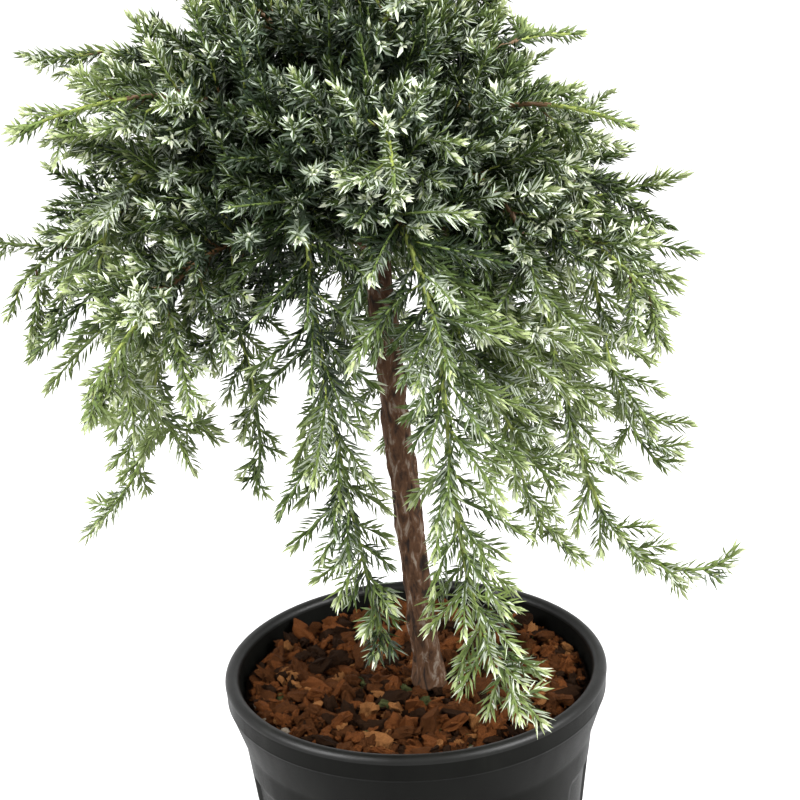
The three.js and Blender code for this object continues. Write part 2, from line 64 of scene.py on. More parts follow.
# Sizes that the solids are made by
POT = Values(
    height=150, rim=95, lip_width=7, lip_depth=12, shoulder_depth=34, shoulder=87,
    foot=73, wall=3.4, floor=3, panels=8, panel_top=103, panel_bottom=14, panel_depth=1.6,
    panel_share=0.6, drain_holes=4, drain_radius=5, drain_circle=56,
)
SHOULDER_HEIGHT = POT.height - POT.shoulder_depth
SOIL_LEVEL = 139.7
SOIL_DRAWS = 40  # numbers that the soil's lumps take from the shared source
TRUNK = Values(
    foot=np.array([7.0, -3.0, 140.0]), top=np.array([-11.0, 0.0, 410.0]), bow=-1,
    flare_radius=9.4, flare_height=18, radius=7.2, top_radius=6.4,
    head_radius=10.5, head_height=50, head_turn=0.87, lobes=5, lobe_share=0.1,
)
DOME = Values(centre=np.array([-25.0, 0.0, 372.0]), radius=160, height=156)
PATH_STEPS = 24
GOLDEN_TURN = 2.39996
FLICK_FROM = 0.62
LOPSIDED = 0.12
BOUGH_TIP_RADIUS = 1.5
STEM_TIP_RADIUS = 0.7
RING_KEYS = (
    "kind", "count", "first", "spread", "start", "radius", "bough", "rise", "fall", "length", "spray",
)
RINGS = [
    ("crest", 4, 95, 90, 410, 2.2, 0, 72, 32, 125, (68, 46)),
    ("shoulder", 6, 35, 60, 402, 2.4, 0.28, 40, -12, 155, (72, 52)),
    ("skirt", 6, -25, 50, 374, 2.6, 0.25, 26, -44, 166, (70, 52)),
]
RING_SPREAD = Values(azimuth=0.2, rise=10, length=0.1, swing=24)
TAIL = {"kind": "tail", "start": 389, "stagger": 4, "radius": 2.6, "bough": 0.19}
TAIL_KEYS = ("name", "azimuth", "rise", "fall", "length", "turn", "swing", "flick")
TAILS = [
    ("front_left", -123, 56, -77, 303, 0.45, 108, -4),
    ("front_right", -98, 44, -86, 346, 0.55, 100, 36),
    ("front_middle", -68, 36, -69, 198, 0.46, 32, 56),
    ("right_front", -55, 49, -77, 314, 0.4, 62, 132),
    ("right", 8, 34, -82, 250, 0.5, -12, 40),
    ("back_right", 46, 38, -87, 312, 0.33, -22, 62),
    ("back", 96, 42, -86, 300, 0.5, -30, 20),
    ("back_left", 133, 40, -103, 282, 0.56, 28, 34),
    ("left", 166, 29, -81, 274, 0.45, 10, 54),
    ("left_front", 194, 48, -110, 292, 0.74, 48, -76),
]

# Finer growth: side shoots on the stems, twigs on the side shoots and needles on all of them
STEM_STEPS = 72
SHOOT_STEPS = 9
TWIG_STEPS = 5
SHORTER = (1, 0.8, 0.62, 0.45)  # tried in turn where space is tight
REACH_SHARES = (0, 0.3, 0.6, 0.88, 1)  # places along a stem where its side shoots' lengths are given
TAIL_REACH = (48, 48, 42, 26, 9)
NARROW_REACH = {
    "tail_front_left": (48, 48, 44, 22, 9),
    "tail_right_front": (44, 44, 34, 14, 8),
    "tail_back_right": (46, 46, 34, 16, 8),
    "tail_back_left": (46, 46, 34, 16, 8),
}
FORK_REACH = (34, 44, 38, 28, 12)
INNER_REACH = (36, 44, 44, 34, 24)
TAIL_IN_DOME = 0.36  # share of a tail that also bears shoots all round, as the dome's leaders do
DOME_GROWTH = Values(
    pitch=3.9, first=0.1, slant=46, outward=0.4, ahead=0, up=0.2,
    needle_size=0.8, needle_pitch=2.0, stem_pitch=2.0, needle_spread=48, stem_spread=48,
    twig_pitch=8.5, twigs_until=1, twig_length=(12, 22), edge=(0.86, 1.1),
    twig_edge=(0.68, 0.88), shoot_age=0.45, stem_ages=(0.25, 0.6, 0.9),
)
TAIL_GROWTH = Values(
    pitch=5.4, first=0.1, slant=56, outward=0.2, ahead=0.3, up=0.16,
    needle_size=1, needle_pitch=2.05, stem_pitch=3.4, needle_spread=44, stem_spread=36,
    twig_pitch=12, twigs_until=0.3, twig_length=(9, 18), edge=(1.2, 1.3),
    twig_edge=(1.2, 1.3), shoot_age=0.75, stem_ages=(0.05, 0.2, 0.8),
)
# How close side shoots stand on some tails, as a share of the rule's
CLOSENESS = {
    "tail_front_left": 1.25, "tail_front_right": 1.2, "tail_front_middle": 1.1, "tail_right_front": 0.8,
    "tail_right": 0.75, "tail_left": 0.65, "tail_left_front": 0.8,
}
FORKS = {"tail_front_middle": 2, "tail_right": 1, "tail_back_right": 1, "tail_back": 2, "tail_back_left": 2}
FORK = Values(
    start=(0.2, 0.5), jitter=(0.1, 0.9), length=(0.25, 0.42), aside=(18, 48), rise=(8, 26),
    fall=(-88, -72), turn=0.7, swing=(-20, 20), flick=(0, 40), foot_share=1.6,
)
SIDE_SHOOT = Values(
    jitter=(0.3, 0.9), end_room=0.4, length=(0.66, 1.14), turn_spread=0.5, slant_spread=7,
    pull_spread=0.14, radius=(0.65, 0.4), sides=4, bare=0.04,
)
TWIG = Values(
    start=0.14, over=0.68, jitter=(0, 0.7), turn_spread=0.8, slant=40, slant_spread=7,
    shorter=0.45, ahead=0.3, up=0.2, pull_spread=0.12, radius=(0.42, 0.3), sides=3,
    bare=0.03, needle_share=0.95, age=0.9,
)
STEM = Values(sides=6, bare=0.12, last_reach=0.6)
OPEN_FRONT = Values(half_width=6, top=338)  # where no shoot hangs before the trunk
CLEARANCE = Values(trunk=5, over_rim=8, beside_rim=6)
PAST_SOLIDS = 7  # how far past the box of the solids a shoot may reach
TRIM = Values(power=2.5, right_in=0.09, room=0.045)  # how the dome is trimmed, in shares of its radius
TIP = Values(longest=12, share=0.28, pale=4.5)  # where needles close up and where they are pale
WHORL = Values(needles=3, jitter=0.2, last=0.995, turn_spread=0.4, needle_turn_spread=0.16)
NEEDLE = Values(
    length=9, lengths=(0.8, 1.15), foot_length=0.72, full_from=0.15, tip_length=0.72,
    spreads=7, tip_spread=16, width=1.8, wider=0.4, thick=0.6, channel=0.2,
    broadest=0.4, band=0.64, off_axis=0.25, curl=0.07,
)
ASKEW = np.array([0.31, 0.77, 0.55])  # a way that no shoot runs along

# Camera of the photograph, fitted to the pot's rim
CAMERA = Values(height_angle=28, distance=1200, aim_height=147, aside=-1.1, tilt=21.62, roll=-2.88)
FOCAL_PIXELS = 2393
IMAGE_PIXELS = 800
SENSOR_WIDTH = 36


# Arithmetic

def lerp(start, end, share):
    return start + (end - start) * share


def smoothstep(value, low, high):
    share = np.clip((value - low) / (high - low), 0, 1)
    return share * share * (3 - 2 * share)


def unit(vectors):
    return vectors / np.maximum(np.linalg.norm(vectors, axis=-1, keepdims=True), 1e-9)


def turned_about(vectors, axes, angles):
    """Unit vectors at right angles to their axes, turned about them."""
    angles = angles[..., None]
    return vectors * np.cos(angles) + np.cross(axes, vectors) * np.sin(angles)


def turn_angles(sides):
    return 2 * np.pi * np.arange(sides) / sides


def ring_points(radius, angles, height):
    return np.stack([radius * np.cos(angles), radius * np.sin(angles), height], axis=-1)


def heading(azimuth, lift):
    azimuth, lift = np.radians(azimuth), np.radians(lift)
    return ring_points(np.cos(lift), azimuth, np.sin(lift))


def seeded_source(seed):
    """Numbers from 0 to 1, the same ones that the solids grow by."""
    word = 0xFFFFFFFF
    state = seed
    while True:
        state = (state + 0x6D2B79F5) & word
        mixed = ((state ^ (state >> 15)) * (state | 1)) & word
        mixed ^= (mixed + (mixed ^ (mixed >> 7)) * (mixed | 61)) & word
        yield (mixed ^ (mixed >> 14)) / (word + 1)


def noise_sheet(rng, rows, columns, row_cells, column_cells):
    """Smooth noise from -1 to 1 over a sheet whose columns close on themselves."""
    lattice = rng.uniform(-1, 1, (row_cells + 2, column_cells))
    row = np.linspace(0, row_cells, rows)[:, None]
    column = np.arange(columns)[None, :] / columns * column_cells
    low_row, low_column = row.astype(int), column.astype(int)
    row_part = smoothstep(row - low_row, 0, 1)
    column_part = smoothstep(column - low_column, 0, 1)
    next_column = (low_column + 1) % column_cells
    near = lerp(lattice[low_row, low_column], lattice[low_row, next_column], column_part)
    far = lerp(lattice[low_row + 1, low_column], lattice[low_row + 1, next_column], column_part)
    return lerp(near, far, row_part)


# Meshes

def add_object(name, data):
    made = bpy.data.objects.new(name, data)
    bpy.context.scene.collection.objects.link(made)
    return made


def add_mesh(name, vertices, triangles, materials, material_of=None, smooth=True):
    """A mesh object from millimetre vertices and triangles."""
    mesh = bpy.data.meshes.new(name)
    mesh.vertices.add(len(vertices))
    mesh.vertices.foreach_set("co", (vertices * MM).astype(np.float32).ravel())
    mesh.loops.add(triangles.size)
    mesh.loops.foreach_set("vertex_index", triangles.astype(np.int32).ravel())
    mesh.polygons.add(len(triangles))
    mesh.polygons.foreach_set("loop_start", np.arange(0, triangles.size, 3, dtype=np.int32))
    for material in materials:
        mesh.materials.append(material)
    if material_of is not None:
        mesh.polygons.foreach_set("material_index", material_of.astype(np.int32))
    mesh.polygons.foreach_set("use_smooth", np.full(len(triangles), smooth))
    mesh.update(calc_edges=True)
    mesh.validate()
    return add_object(name, mesh)


def joined(meshes):
    """Vertices, triangles and looks of meshes as those of one."""
    vertices, triangles, looks = zip(*meshes)
    starts = np.cumsum([0, *(len(part) for part in vertices)])
    triangles = [part + start for part, start in zip(triangles, starts)]
    return np.concatenate(vertices), np.concatenate(triangles), np.concatenate(looks)


def on_plant(piece, nodes=()):
    """A piece rides on the plant and may stand for nodes of the solids, which are hidden."""
    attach(piece, "root")
    if nodes:
        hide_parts(*nodes)


def grid_triangles(rows, columns):
    """Triangles of a sheet of rows by columns whose columns close on themselves, faces out."""
    row, column = np.meshgrid(np.arange(rows - 1), np.arange(columns), indexing="ij")
    onward = (column + 1) % columns
    low, high = row * columns, (row + 1) * columns
    first = np.stack([low + column, low + onward, high + onward], axis=-1)
    second = np.stack([low + column, high + onward, high + column], axis=-1)
    return np.concatenate([first.reshape(-1, 3), second.reshape(-1, 3)])


def tube_triangles(rings, sides):
    """Triangles of one closed tube, walls first."""
    walls = grid_triangles(rings, sides)
    fan = np.array([[0, side + 1, side] for side in range(1, sides - 1)])
    far_cap = fan[:, [0, 2, 1]] + (rings - 1) * sides
    return np.concatenate([walls, fan, far_cap])


STRAIGHT_PLANE = 0.02 * np.array([0.6, 0.5, 0.62])  # settles where the seam of a straight tube lies


def tubes(points, foot_radius, tip_radius, sides):
    """Vertices, triangles and each triangle's share along its tube, for many tubes of equal steps."""
    count, rings, _ = points.shape
    tangents = unit(np.gradient(points, axis=1))
    plane = np.cross(tangents[:, :1], tangents[:, -1:]) + STRAIGHT_PLANE
    across = unit(plane - tangents * np.sum(plane * tangents, axis=-1, keepdims=True))
    angles = turn_angles(sides)
    spokes = (
        across[:, :, None] * np.cos(angles)[:, None]
        + np.cross(tangents, across)[:, :, None] * np.sin(angles)[:, None]
    )
    radii = lerp(foot_radius, tip_radius, np.linspace(0, 1, rings))
    vertices = points[:, :, None] + radii[:, None, None] * spokes
    one = tube_triangles(rings, sides)
    triangles = one[None] + (np.arange(count) * rings * sides)[:, None, None]
    share_of = np.tile((one // sides).mean(axis=1) / (rings - 1), count)
    return vertices.reshape(-1, 3), triangles.reshape(-1, 3), share_of


# Materials

def new_material(name, colour=None, roughness=0.6, specular=0.4):
    material = bpy.data.materials.new(name)
    material.use_nodes = True
    shader = material.node_tree.nodes["Principled BSDF"]
    shader.inputs["Roughness"].default_value = roughness
    shader.inputs["Specular IOR Level"].default_value = specular
    if colour:
        shader.inputs["Base Color"].default_value = (*colour, 1)
        material.diffuse_color = (*colour, 1)
    return material, material.node_tree, shader


def node(tree, kind, **values):
    made = tree.nodes.new(kind)
    for name, value in values.items():
        made.inputs[name].default_value = value
    return made


def stretched_noise(tree, scale, **values):
    """Noise over object coordinates, stretched by a scale for each axis."""
    place = node(tree, "ShaderNodeTexCoord")
    mapping = node(tree, "ShaderNodeMapping", Scale=scale)
    tree.links.new(place.outputs["Object"], mapping.inputs["Vector"])
    noise = node(tree, "ShaderNodeTexNoise", Scale=1, **values)
    tree.links.new(mapping.outputs["Vector"], noise.inputs["Vector"])
    return noise.outputs["Fac"]


def add_colour(tree, shader, factor, stops):
    """A colour ramp over stops of (place, colour)."""
    ramp = node(tree, "ShaderNodeValToRGB")
    elements = ramp.color_ramp.elements
    while len(elements) < len(stops):
        elements.new(1)
    for element, (place, colour) in zip(elements, stops):
        element.position = place
        element.color = (*colour, 1)
    tree.links.new(factor, ramp.inputs["Fac"])
    tree.links.new(ramp.outputs["Color"], shader.inputs["Base Color"])


def add_bump(tree, shader, height, strength, distance):
    bump = node(tree, "ShaderNodeBump", Strength=strength, Distance=distance)
    tree.links.new(height, bump.inputs["Height"])
    tree.links.new(bump.outputs["Normal"], shader.inputs["Normal"])


def add_roughness(tree, shader, value, low, high):
    """Roughness by a value from 0 to 1 that is brought into a range."""
    ranged = node(tree, "ShaderNodeMapRange", **{"To Min": low, "To Max": high})
    tree.links.new(value, ranged.inputs["Value"])
    tree.links.new(ranged.outputs["Result"], shader.inputs["Roughness"])


# Scales of noise, ranges of roughness, and bumps as strength and metres
PLASTIC = Values(
    bloom=(28, 28, 12), scuffs=(130, 130, 22), grain=1400, roughness=(0.3, 0.5), bump=(0.12, 0.0004),
)
PLASTIC_STOPS = (
    (0.3, (0.0016, 0.0016, 0.0014)), (0.62, (0.003, 0.0031, 0.0026)), (0.85, (0.008, 0.008, 0.0068)),
)
BARK = Values(
    plates=(240, 240, 95), stops=(0.36, 0.46, 0.54, 0.64), warmer=0.6, fibres=(1500, 1500, 200),
    bump=(0.5, 0.0006),
)
CHIP = Values(mottle=420, stops=(0.36, 0.66), roughness=(0.95, 0.5), bump=(0.9, 0.0024))


def plastic_material(name, specular):
    """Matt black moulded plastic with faint scuffs, its colour a little darker or lighter in faint upright
    streaks.
    """
    material, tree, shader = new_material(name, specular=specular)
    bloom = stretched_noise(tree, PLASTIC.bloom, Detail=5, Roughness=0.65)
    add_colour(tree, shader, bloom, PLASTIC_STOPS)
    scuffs = stretched_noise(tree, PLASTIC.scuffs, Detail=3, Roughness=0.6)
    add_roughness(tree, shader, scuffs, *PLASTIC.roughness)
    grain = node(tree, "ShaderNodeTexNoise", Scale=PLASTIC.grain, Detail=2)
    add_bump(tree, shader, grain.outputs["Fac"], *PLASTIC.bump)
    return material


def bark_material(name, dark, warm, pale):
    """Flaking bark: dark furrows, warm inner bark and paler weathered plates."""
    material, tree, shader = new_material(name, roughness=0.85, specular=0.1)
    plates = stretched_noise(tree, BARK.plates, Detail=6, Roughness=0.62, Distortion=0.6)
    between = tuple(lerp(a, b, BARK.warmer) for a, b in zip(dark, warm))
    add_colour(tree, shader, plates, list(zip(BARK.stops, (dark, between, warm, pale))))
    fibres = stretched_noise(tree, BARK.fibres, Detail=4, Roughness=0.7)
    add_bump(tree, shader, fibres, *BARK.bump)
    return material


def chip_material(name, dark, light):
    """Damp bark mix, mottled and grainy."""
    material, tree, shader = new_material(name, roughness=0.75, specular=0.03)
    mottle = node(tree, "ShaderNodeTexNoise", Scale=CHIP.mottle, Detail=7, Roughness=0.75).outputs["Fac"]
    add_colour(tree, shader, mottle, list(zip(CHIP.stops, (dark, light))))
    add_roughness(tree, shader, mottle, *CHIP.roughness)
    add_bump(tree, shader, mottle, *CHIP.bump)
    return material


# Leaders, by the rule that the solids grow by

def trunk_axis(height):
    share = (height - TRUNK.foot[2]) / (TRUNK.top[2] - TRUNK.foot[2])
    point = lerp(TRUNK.foot, TRUNK.top, np.asarray(share)[..., None])
    point[..., 0] += TRUNK.bow * np.sin(np.pi * share)
    return point


def trunk_radius(height):
    share = (height - TRUNK.foot[2]) / (TRUNK.top[2] - TRUNK.foot[2])
    plain = lerp(TRUNK.radius, TRUNK.top_radius, share)
    flare = np.maximum(0, 1 - (height - TRUNK.foot[2]) / TRUNK.flare_height) ** 2
    into_head = np.maximum(0, height - TRUNK.top[2] + TRUNK.head_height) / TRUNK.head_height
    swell = np.sin(np.pi * TRUNK.head_turn * into_head)
    spread = (TRUNK.flare_radius - TRUNK.radius) * flare
    return plain + spread + (TRUNK.head_radius - plain) * swell


def leader_start(leader):
    out = heading(leader.azimuth, 0)
    if leader.start < TRUNK.top[2]:
        return trunk_axis(leader.start) + out * trunk_radius(leader.start)
    lift = leader.radius * math.cos(math.radians(leader.rise))
    return TRUNK.top + out * (TRUNK.top_radius - leader.radius) + UP * lift


def leader_path(start, leader):
    """A leader bends from its rise to its fall while its heading swings, and its tip may flick up."""
    shares = np.arange(PATH_STEPS + 1) / PATH_STEPS
    upturn = np.maximum(0, (shares - FLICK_FROM) / (1 - FLICK_FROM)) ** 2
    lift = lerp(leader.rise, leader.fall, smoothstep(shares, 0, leader.turn))
    ways = heading(leader.azimuth + leader.swing * shares, lift + leader.flick * upturn)
    strides = ways[:-1] * leader.length / PATH_STEPS
    return start + np.concatenate([np.zeros((1, 3)), np.cumsum(strides, axis=0)])


def smoothed(path, steps):
    """The path drawn as a smooth curve with more steps."""
    padded = np.concatenate([2 * path[:1] - path[1:2], path, 2 * path[-1:] - path[-2:-1]])
    place = np.linspace(0, len(path) - 1, steps + 1)
    low = np.minimum(place.astype(int), len(path) - 2)
    t = (place - low)[:, None]
    before, start, end, after = (padded[low + offset] for offset in range(4))
    return 0.5 * (
        2 * start
        + (end - before) * t
        + (2 * before - 5 * start + 4 * end - after) * t**2
        + (3 * start - before - 3 * end + after) * t**3
    )


def ring_leaders(source):
    leaders = []
    for values in RINGS:
        ring = dict(zip(RING_KEYS, values))
        for index in range(ring["count"]):
            step = index + RING_SPREAD.azimuth * (next(source) - 0.5)
            azimuth = ring["first"] + ring["spread"] * step
            longer = 1 - LOPSIDED * math.cos(math.radians(azimuth))
            leaders.append(Values(**{
                **ring,
                "name": f"{ring['kind']}_{index + 1}",
                "azimuth": azimuth,
                "rise": ring["rise"] + RING_SPREAD.rise * (next(source) - 0.5),
                "length": ring["length"] * longer * (1 + RING_SPREAD.length * (next(source) - 0.5)),
                "swing": RING_SPREAD.swing * (next(source) - 0.5),
                "turn": 1,
                "flick": 0,
            }))
    return leaders


def tail_leaders():
    leaders = []
    for index, values in enumerate(TAILS):
        tail = {**TAIL, **dict(zip(TAIL_KEYS, values))}
        tail["name"] = f"tail_{tail['name']}"
        tail["start"] += -TAIL["stagger"] if index % 2 else TAIL["stagger"]
        leaders.append(Values(**tail))
    return leaders


source = seeded_source(SEED)
first_draws = [next(source) for _ in range(SOIL_DRAWS + 1)]
flare_turn = 2 * math.pi * first_draws[-1]
leaders = [*ring_leaders(source), *tail_leaders()]
for leader in leaders:
    leader.path = smoothed(leader_path(leader_start(leader), leader), STEM_STEPS)


# Trunk and boughs

TRUNK_MESH = Values(rings=230, sides=72, bark_depth=1.0)
TRUNK_BARK = ((0.007, 0.0045, 0.003), (0.042, 0.02, 0.0095), (0.1, 0.08, 0.062))
BOUGH_MESH = Values(
    steps=40, sides=16, bark_depth=0.28, thicker=1.15, in_head=4, swell=1.5, swell_rings=6,
)
BOUGH_BARK = ((0.012, 0.007, 0.004), (0.06, 0.027, 0.012), (0.1, 0.066, 0.04))
# Relief of bark: how many rings and sides of the mesh a cell takes, and heights as shares of its depth
PLATES = Values(rings=9, sides=6, terraces=3, edge=0.6, height=0.8)
FURROWS = Values(rings=8, sides=8, width=0.3, height=0.55)
GRAIN = Values(rings=4, sides=2, height=0.22)


def bark_relief(rng, rings, sides, depth):
    """Upright plates with lifted edges, furrows between them and a fine grain."""
    plates, furrows, grain = (
        noise_sheet(rng, rings, sides, max(2, rings // kind.rings), max(3, sides // kind.sides))
        for kind in (PLATES, FURROWS, GRAIN)
    )
    steps = PLATES.terraces
    terraces = np.floor(plates * steps) / steps + smoothstep(plates * steps % 1, PLATES.edge, 1) / steps
    between = 1 - smoothstep(np.abs(furrows), 0, FURROWS.width)
    return depth * (PLATES.height * terraces - FURROWS.height * between + GRAIN.height * grain)


def trunk_piece(rng):
    rings, sides = TRUNK_MESH.rings, TRUNK_MESH.sides
    heights = np.linspace(TRUNK.foot[2], TRUNK.top[2], rings)
    angles = turn_angles(sides)
    flare_top = TRUNK.foot[2] + TRUNK.flare_height
    lobe = TRUNK.lobe_share * (1 - smoothstep(heights, TRUNK.foot[2], flare_top))
    lobes = 1 + lobe[:, None] * np.cos(TRUNK.lobes * angles + flare_turn)[None]
    radii = trunk_radius(heights)[:, None] * lobes
    radii += bark_relief(rng, rings, sides, TRUNK_MESH.bark_depth)
    spokes = ring_points(1, angles, np.zeros(sides))
    vertices = trunk_axis(heights)[:, None] + radii[:, :, None] * spokes[None]
    material = bark_material("trunk_bark", *TRUNK_BARK)
    piece = add_mesh("trunk_bark", vertices.reshape(-1, 3), tube_triangles(rings, sides), [material])
    on_plant(piece, ["trunk"])


def bough_piece(rng):
    """The boughs as one mesh, each from inside the graft head to just past its stem's foot."""
    sides, swell_rings = BOUGH_MESH.sides, BOUGH_MESH.swell_rings
    boughs = [leader for leader in leaders if leader.bough]
    meshes = []
    for leader in boughs:
        steps = int(leader.bough * STEM_STEPS) + 2
        path = smoothed(leader.path[:steps], BOUGH_MESH.steps)
        path[0] -= BOUGH_MESH.in_head * unit(path[1] - path[0])
        foot = leader.radius * BOUGH_MESH.thicker
        radii = lerp(foot, BOUGH_TIP_RADIUS, np.linspace(0, 1, len(path)))
        radii[:swell_rings] *= np.linspace(BOUGH_MESH.swell, 1, swell_rings)
        radii = radii[:, None] + bark_relief(rng, len(path), sides, BOUGH_MESH.bark_depth)
        vertices, triangles, shares = tubes(path[None], 1, 1, sides)
        centre = np.repeat(path, sides, axis=0)
        meshes.append((centre + (vertices - centre) * radii.reshape(-1, 1), triangles, shares))
    vertices, triangles, _ = joined(meshes)
    piece = add_mesh("bough_bark", vertices, triangles, [bark_material("bough_bark", *BOUGH_BARK)])
    on_plant(piece, [f"bough_{leader.name}" for leader in boughs])


# Shoots

Stem = namedtuple("Stem", "path length closeness reach growth bare", defaults=[False])


def dealt(counts):
    """The shoot and the number on it, for so many on each shoot."""
    owner = np.repeat(np.arange(len(counts)), counts)
    return owner, np.concatenate([np.arange(count) for count in counts])


def along(points, owner, share):
    """Places and directions at given shares of given shoots."""
    last = points.shape[1] - 1
    place = share * last
    low = np.minimum(place.astype(int), last - 1)
    start, end = points[owner, low], points[owner, low + 1]
    return start + (end - start) * (place - low)[:, None], unit(end - start)


def sprouted(points, owner, share, turn, slant, length, pull, steps):
    """Shoots that leave others at a slant and bend along a pull."""
    foot, ahead = along(points, owner, share)
    across = unit(np.cross(ahead, foot - DOME.centre))
    side = turned_about(across, ahead, turn)
    first = ahead * np.cos(slant)[:, None] + side * np.sin(slant)[:, None]
    bend = np.linspace(0, 1, steps)[None, :, None]
    ways = unit(first[:, None] + bend * pull[:, None])
    strides = ways[:, :-1] * (length / (steps - 1))[:, None, None]
    return foot[:, None] + np.concatenate([np.zeros((len(foot), 1, 3)), np.cumsum(strides, axis=1)], axis=1)


def dome_depth(points):
    """How far out places lie in the dome, from 0 at its middle to 1 at its surface."""
    level = points - DOME.centre
    rise = np.maximum(0, level[..., 2]) / DOME.height
    return np.hypot(np.hypot(level[..., 0], level[..., 1]) / DOME.radius, rise)


def clear_of_solids(points):
    """Whether whole shoots keep off the trunk and the pot, and leave the trunk open to the front."""
    ends = points[:, 2:]
    x, y, z = np.moveaxis(ends, -1, 0)
    height = np.clip(z, TRUNK.foot[2], TRUNK.top[2])
    axis = trunk_axis(height)
    off_trunk = np.linalg.norm(ends - axis, axis=-1) > trunk_radius(height) + CLEARANCE.trunk
    over_pot = z < POT.height + CLEARANCE.over_rim
    over_pot &= np.hypot(x, y) < POT.rim + CLEARANCE.beside_rim
    before_trunk = (np.abs(x - axis[..., 0]) < OPEN_FRONT.half_width) & (y < 0) & (z < OPEN_FRONT.top)
    return np.all(off_trunk & ~over_pot & ~before_trunk, axis=1)


def within_reach(points):
    """Whether whole shoots stay in the box of the solids, give or take a little."""
    low, high = np.array(cad_box) / MM
    return np.all((points > low - PAST_SOLIDS) & (points < high + PAST_SOLIDS), axis=(1, 2))


def fitted(shoots, edge, rng):
    """Shoots cut to the longest share that fits, those shares, and which shoots fit at all."""
    foot = shoots[:, :1]
    limit = lerp(*edge, rng.uniform(0, 1, len(shoots)) ** TRIM.power)
    to_right = (shoots[:, -1, 0] - DOME.centre[0]) / DOME.radius
    limit -= TRIM.right_in * np.clip(to_right, 0, 1)
    limit = np.maximum(limit, dome_depth(foot[:, 0]) + TRIM.room)
    chosen = np.zeros(len(shoots))
    for share in SHORTER:
        tried = foot + (shoots - foot) * share
        fits = clear_of_solids(tried) & within_reach(tried) & (dome_depth(tried[:, -1]) < limit)
        chosen[fits & (chosen == 0)] = share
    keep = chosen > 0
    return (foot + (shoots - foot) * chosen[:, None, None])[keep], chosen[keep], keep


def side_shoots(stem, rng):
    """Side shoots of a stem: all round in the dome; to either side and every third one outward on a tail."""
    growth = stem.growth
    count = int(stem.closeness * stem.length * (1 - growth.first) / growth.pitch)
    index = np.arange(count)
    place = (index + rng.uniform(*SIDE_SHOOT.jitter, count)) / (count + SIDE_SHOOT.end_room)
    share = lerp(growth.first, 1, place)
    if growth is TAIL_GROWTH:
        turn = np.where(index % 3 == 2, -np.pi / 2, np.pi * index)
        turn += rng.normal(0, SIDE_SHOOT.turn_spread, count)
    else:
        turn = GOLDEN_TURN * index + rng.uniform(0, SIDE_SHOOT.turn_spread, count)
    length = np.interp(share, REACH_SHARES, stem.reach) * rng.uniform(*SIDE_SHOOT.length, count)
    slant = np.radians(rng.normal(growth.slant, SIDE_SHOOT.slant_spread, count))
    points = stem.path[None]
    owner = np.zeros(count, int)
    foot, ahead = along(points, owner, share)
    pull = growth.outward * unit(foot - DOME.centre) + growth.ahead * ahead + growth.up * UP
    pull += rng.normal(0, SIDE_SHOOT.pull_spread, (count, 3))
    shoots = sprouted(points, owner, share, turn, slant, length, pull, SHOOT_STEPS)
    shoots, shorter, keep = fitted(shoots, growth.edge, rng)
    return shoots, share[keep], length[keep] * shorter


def twigs_on(shoots, lengths, shares, growth, rng):
    """Short shoots that fill out the side shoots."""
    counts = np.where(shares < growth.twigs_until, np.floor(lengths / growth.twig_pitch), 0).astype(int)
    owner, index = dealt(counts)
    count = len(owner)
    place = TWIG.over * (index + rng.uniform(*TWIG.jitter, count)) / np.maximum(counts[owner], 1)
    share = TWIG.start + place
    turn = np.pi * index + rng.normal(0, TWIG.turn_spread, count)
    slant = np.radians(rng.normal(TWIG.slant, TWIG.slant_spread, count))
    length = rng.uniform(*growth.twig_length, count) * (1 - TWIG.shorter * share)
    _, ahead = along(shoots, owner, share)
    pull = TWIG.ahead * ahead + TWIG.up * UP + rng.normal(0, TWIG.pull_spread, (count, 3))
    twigs = sprouted(shoots, owner, share, turn, slant, length, pull, TWIG_STEPS)
    twigs, shorter, keep = fitted(twigs, growth.twig_edge, rng)
    return twigs, length[keep] * shorter


def forks_of(leader, rng):
    """Lesser tails that leave some of the tails, to either side in turn."""
    forks = []
    count = FORKS.get(leader.name, 0)
    for index in range(count):
        share = lerp(*FORK.start, (index + rng.uniform(*FORK.jitter)) / count)
        foot, ahead = along(leader.path[None], np.zeros(1, int), np.array([share]))
        side = 1 if index % 2 else -1
        fork = Values(
            azimuth=math.degrees(math.atan2(ahead[0, 1], ahead[0, 0])) + side * rng.uniform(*FORK.aside),
            rise=math.degrees(math.asin(ahead[0, 2])) + rng.uniform(*FORK.rise),
            fall=rng.uniform(*FORK.fall),
            length=leader.length * rng.uniform(*FORK.length),
            turn=FORK.turn,
            swing=rng.uniform(*FORK.swing),
            flick=rng.uniform(*FORK.flick),
        )
        path = smoothed(leader_path(foot[0], fork), STEM_STEPS // 2)
        forks.append(Stem(path, fork.length, 1, FORK_REACH, TAIL_GROWTH))
    return forks


def stems_of(leader, rng):
    """The stems that bear a mass's side shoots: its leader from the head on, and a tail's forks."""
    closeness = CLOSENESS.get(leader.name, 1)
    if leader.kind != "tail":
        first, last = leader.spray
        reach = (first, first, lerp(first, last, REACH_SHARES[2]), last, STEM.last_reach * last)
        return [Stem(leader.path, leader.length, closeness, reach, DOME_GROWTH)]
    reach = NARROW_REACH.get(leader.name, TAIL_REACH)
    inner = leader.path[:int(TAIL_IN_DOME * STEM_STEPS) + 1]
    return [
        Stem(leader.path, leader.length, closeness, reach, TAIL_GROWTH),
        Stem(inner, TAIL_IN_DOME * leader.length, closeness, INNER_REACH, DOME_GROWTH, bare=True),
        *forks_of(leader, rng),
    ]


# Needles

Whorls = namedtuple("Whorls", "foot ahead share owner order to_tip closed")


